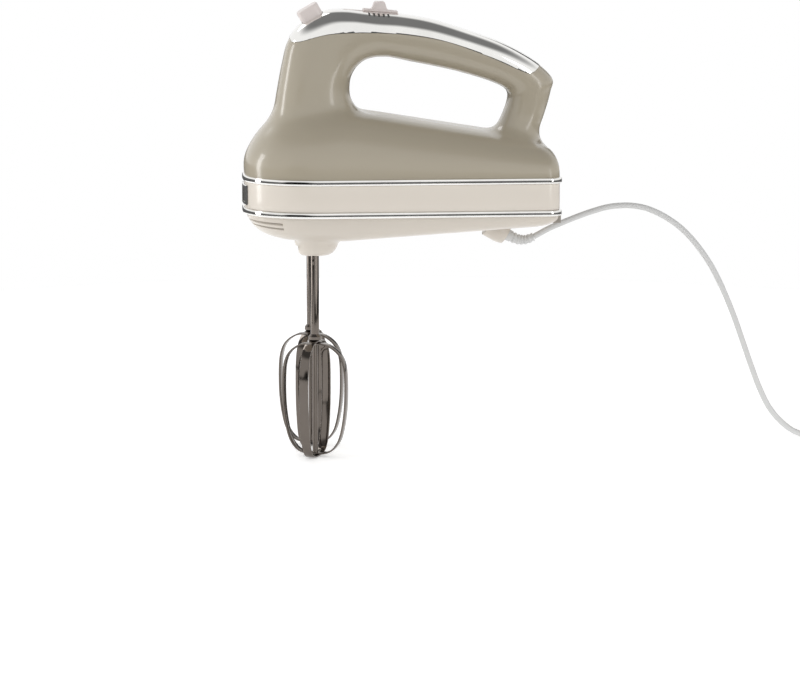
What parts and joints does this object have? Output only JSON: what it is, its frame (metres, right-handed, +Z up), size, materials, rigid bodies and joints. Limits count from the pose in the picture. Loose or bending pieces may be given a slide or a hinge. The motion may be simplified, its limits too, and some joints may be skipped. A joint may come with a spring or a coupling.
{
  "type": "hand mixer",
  "caption": "Retro hand mixer with a bridged grip, chrome cover and trims, two crossed-strip beaters driven by a worm, and a mains cord.",
  "frame": {"origin": "under the middle of the body, level with the lowest point of the beaters, cord left out", "axes": "+Z up along the beaters, +X from the nose to the cord end, +Y away from the side shown in the picture"},
  "size_m": [0.4782, 0.1683, 0.3102],
  "materials": {
    "taupe_housing": "glossy warm taupe plastic",
    "cream_housing": "glossy cream plastic",
    "chrome_trim": "bright chrome plating on plastic",
    "white_controls": "satin off-white plastic",
    "foot_rubber": "matte grey rubber",
    "black_plastic": "matte black moulded plastic",
    "nylon": "natural nylon",
    "lamination": "stacked electrical steel",
    "copper": "enamelled copper wire and copper bars",
    "shaft_steel": "turned steel",
    "bearing_brass": "sintered bronze and brass",
    "die_cast": "die-cast light alloy",
    "carbon": "pressed carbon",
    "circuit_board": "fibre board with solder resist",
    "beater_metal": "chromed steel strip with a brownish reflection",
    "cord_plastic": "satin off-white flexible PVC"
  },
  "bodies": {
    "mixer_body": {"brush_holder_left": "bearing_brass", "brush_holder_right": "bearing_brass", "brush_left": "carbon", "brush_right": "carbon", "control_board": "circuit_board", "cord_clamp": "black_plastic", "cord_coil": "cord_plastic", "cord_lead": "cord_plastic", "cord_tail": "cord_plastic", "cord_tie": "black_plastic", "field_coil_lower": "copper", "field_coil_upper": "copper", "front_badge": "chrome_trim", "front_bearing": "bearing_brass", "gear_plate": "die_cast", "handle_cover": "chrome_trim", "heel_foot_left": "foot_rubber", "heel_foot_right": "foot_rubber", "lower_housing": "cream_housing", "lower_trim": "chrome_trim", "middle_band": "cream_housing", "nose_bearing": "bearing_brass", "plug_body": "cord_plastic", "plug_pin_left": "bearing_brass", "plug_pin_right": "bearing_brass", "rear_bearing": "bearing_brass", "rear_bracket": "black_plastic", "slider_track": "white_controls", "speed_switch": "black_plastic", "spindle_bush_left": "bearing_brass", "spindle_bush_right": "bearing_brass", "stator_core": "lamination", "strain_relief": "cord_plastic", "upper_housing": "taupe_housing", "upper_trim": "chrome_trim"},
    "rotor": {"armature_core": "lamination", "armature_winding": "copper", "commutator": "copper", "cooling_fan": "black_plastic", "motor_shaft": "shaft_steel"},
    "drive_left": {"gear_left": "nylon", "spindle_left": "shaft_steel"},
    "drive_right": {"gear_right": "nylon", "spindle_right": "shaft_steel"},
    "beater_left": {"beater_left_shaft": "beater_metal", "beater_left_outer_loop": "beater_metal", "beater_left_inner_loop": "beater_metal"},
    "beater_right": {"beater_right_shaft": "beater_metal", "beater_right_outer_loop": "beater_metal", "beater_right_inner_loop": "beater_metal"},
    "slider": {"speed_slider": "white_controls"},
    "eject": {"eject_button": "white_controls"},
    "yoke": {"eject_yoke": "nylon"}
  },
  "joints": [
    {"name": "armature_spin", "type": "hinge", "parent": "mixer_body", "child": "rotor", "pos_m": [-0.0595, 0, 0.186], "axis": [1, 0, 0], "continuous": true},
    {"name": "spindle_left_spin", "type": "hinge", "parent": "mixer_body", "child": "drive_left", "pos_m": [-0.0595, -0.021, 0.186], "axis": [0, 0, 1], "continuous": true},
    {"name": "spindle_right_spin", "type": "hinge", "parent": "mixer_body", "child": "drive_right", "pos_m": [-0.0595, 0.021, 0.186], "axis": [0, 0, 1], "continuous": true},
    {"name": "beater_left_release", "type": "slide", "parent": "drive_left", "child": "beater_left", "axis": [0, 0, -1], "range_m": [0, 0.045]},
    {"name": "beater_right_release", "type": "slide", "parent": "drive_right", "child": "beater_right", "axis": [0, 0, -1], "range_m": [0, 0.045]},
    {"name": "eject_press", "type": "slide", "parent": "mixer_body", "child": "eject", "axis": [0.5, 0, -0.866], "range_m": [0, 0.006]},
    {"name": "yoke_push", "type": "slide", "parent": "mixer_body", "child": "yoke", "axis": [0, 0, -1], "range_m": [0, 0.0052]},
    {"name": "speed_select", "type": "slide", "parent": "mixer_body", "child": "slider", "axis": [-0.9971, 0, 0.0758], "range_m": [0, 0.013]}
  ],
  "couplings": [
    {"joint": "spindle_left_spin", "follows": "armature_spin", "ratio": 0.029412},
    {"joint": "spindle_right_spin", "follows": "armature_spin", "ratio": -0.029412},
    {"joint": "beater_right_release", "follows": "beater_left_release", "ratio": 1},
    {"joint": "eject_press", "follows": "beater_left_release", "ratio": 0.13333},
    {"joint": "yoke_push", "follows": "beater_left_release", "ratio": 0.11547}
  ]
}
